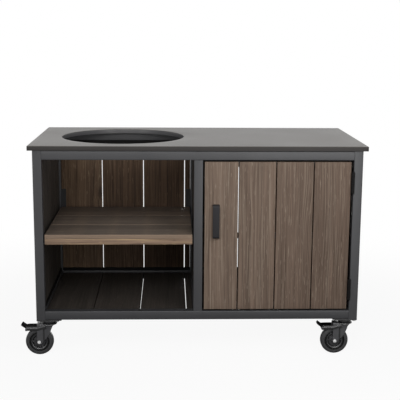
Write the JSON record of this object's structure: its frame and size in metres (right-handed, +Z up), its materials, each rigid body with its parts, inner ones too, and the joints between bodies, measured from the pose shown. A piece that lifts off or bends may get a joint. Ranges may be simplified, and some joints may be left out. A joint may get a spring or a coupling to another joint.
{
  "type": "kamado grill table",
  "caption": "Outdoor grill table on swivel casters: tube frame, stained boards, stone top with round cut-out, open bay with shelf, cabinet with hinged door.",
  "frame": {"origin": "on the floor, under the middle of the object's bounding box, which is within 9 mm of the middle of the worktop", "axes": "+X along the table towards the cabinet end, +Y towards the back, +Z up"},
  "size_m": [1.608, 0.767, 0.9665],
  "materials": {
    "caster_steel": "satin",
    "catch_plastic": "matte",
    "cladding_wood": "satin",
    "door_wood": "satin",
    "frame_powder_coat": "satin",
    "handle_metal": "satin",
    "hinge_steel": "satin",
    "pedal_steel": "satin",
    "rim_plastic": "satin",
    "rubber_pads": "matte",
    "shelf_wood": "satin",
    "stone_worktop": "matte",
    "tyre_rubber": "matte",
    "zinc_fastener": "satin"
  },
  "bodies": {
    "table": {"back_boards": "cladding_wood", "board_strips": "frame_powder_coat", "caster_bolts": "zinc_fastener", "caster_plates": "caster_steel", "centre_bottom_rail": "frame_powder_coat", "centre_top_rail": "frame_powder_coat", "corner_plates": "frame_powder_coat", "door_catch": "catch_plastic", "floor_boards": "cladding_wood", "floor_ledges": "frame_powder_coat", "front_bottom_rail": "frame_powder_coat", "front_centre_post": "frame_powder_coat", "front_left_post": "frame_powder_coat", "front_right_post": "frame_powder_coat", "front_top_rail": "frame_powder_coat", "left_bottom_rail": "frame_powder_coat", "left_side_boards": "cladding_wood", "left_top_rail": "frame_powder_coat", "lower_hinge_post_half": "hinge_steel", "partition_boards": "cladding_wood", "rear_bottom_rail": "frame_powder_coat", "rear_centre_post": "frame_powder_coat", "rear_left_post": "frame_powder_coat", "rear_right_post": "frame_powder_coat", "rear_top_rail": "frame_powder_coat", "right_bottom_rail": "frame_powder_coat", "right_side_boards": "cladding_wood", "right_top_rail": "frame_powder_coat", "shelf_battens": "shelf_wood", "shelf_bearers": "frame_powder_coat", "shelf_planks": "shelf_wood", "upper_hinge_post_half": "hinge_steel", "worktop": "stone_worktop", "worktop_pads": "rubber_pads"},
    "door": {"door_boards": "door_wood", "door_frame": "frame_powder_coat", "door_handle": "handle_metal", "lower_hinge_door_half": "hinge_steel", "upper_hinge_door_half": "hinge_steel"},
    "front_left_swivel": {"front_left_fork": "caster_steel", "front_left_axle": "zinc_fastener"},
    "front_left_wheel": {"front_left_rim": "rim_plastic", "front_left_tyre": "tyre_rubber"},
    "front_left_brake": {"front_left_brake_pedal": "pedal_steel"},
    "front_right_swivel": {"front_right_fork": "caster_steel", "front_right_axle": "zinc_fastener"},
    "front_right_wheel": {"front_right_rim": "rim_plastic", "front_right_tyre": "tyre_rubber"},
    "front_right_brake": {"front_right_brake_pedal": "pedal_steel"},
    "rear_left_swivel": {"rear_left_fork": "caster_steel", "rear_left_axle": "zinc_fastener"},
    "rear_left_wheel": {"rear_left_rim": "rim_plastic", "rear_left_tyre": "tyre_rubber"},
    "rear_left_brake": {"rear_left_brake_pedal": "pedal_steel"},
    "rear_right_swivel": {"rear_right_fork": "caster_steel", "rear_right_axle": "zinc_fastener"},
    "rear_right_wheel": {"rear_right_rim": "rim_plastic", "rear_right_tyre": "tyre_rubber"},
    "rear_right_brake": {"rear_right_brake_pedal": "pedal_steel"}
  },
  "joints": [
    {"name": "door_hinge", "type": "hinge", "parent": "table", "child": "door", "pos_m": [0.684, -0.3745, 0.56], "axis": [0, 0, 1], "range_deg": [0, 175]},
    {"name": "front_left_swivel", "type": "hinge", "parent": "table", "child": "front_left_swivel", "pos_m": [-0.677, -0.3265, 0.16], "axis": [0, 0, 1], "continuous": true},
    {"name": "front_left_roll", "type": "hinge", "parent": "front_left_swivel", "child": "front_left_wheel", "pos_m": [-0.721, -0.3265, 0.0635], "axis": [0, 1, 0], "continuous": true},
    {"name": "front_left_brake", "type": "hinge", "parent": "front_left_swivel", "child": "front_left_brake", "pos_m": [-0.695, -0.3265, 0.139], "axis": [0, -1, 0], "range_deg": [0, 8]},
    {"name": "front_right_swivel", "type": "hinge", "parent": "table", "child": "front_right_swivel", "pos_m": [0.677, -0.3265, 0.16], "axis": [0, 0, 1], "continuous": true},
    {"name": "front_right_roll", "type": "hinge", "parent": "front_right_swivel", "child": "front_right_wheel", "pos_m": [0.633, -0.3265, 0.0635], "axis": [0, 1, 0], "continuous": true},
    {"name": "front_right_brake", "type": "hinge", "parent": "front_right_swivel", "child": "front_right_brake", "pos_m": [0.659, -0.3265, 0.139], "axis": [0, -1, 0], "range_deg": [0, 8]},
    {"name": "rear_left_swivel", "type": "hinge", "parent": "table", "child": "rear_left_swivel", "pos_m": [-0.677, 0.3265, 0.16], "axis": [0, 0, 1], "continuous": true},
    {"name": "rear_left_roll", "type": "hinge", "parent": "rear_left_swivel", "child": "rear_left_wheel", "pos_m": [-0.721, 0.3265, 0.0635], "axis": [0, 1, 0], "continuous": true},
    {"name": "rear_left_brake", "type": "hinge", "parent": "rear_left_swivel", "child": "rear_left_brake", "pos_m": [-0.695, 0.3265, 0.139], "axis": [0, -1, 0], "range_deg": [0, 8]},
    {"name": "rear_right_swivel", "type": "hinge", "parent": "table", "child": "rear_right_swivel", "pos_m": [0.677, 0.3265, 0.16], "axis": [0, 0, 1], "continuous": true},
    {"name": "rear_right_roll", "type": "hinge", "parent": "rear_right_swivel", "child": "rear_right_wheel", "pos_m": [0.721, 0.3265, 0.0635], "axis": [0, 1, 0], "continuous": true},
    {"name": "rear_right_brake", "type": "hinge", "parent": "rear_right_swivel", "child": "rear_right_brake", "pos_m": [0.695, 0.3265, 0.139], "axis": [0, 1, 0], "range_deg": [0, 8]}
  ]
}
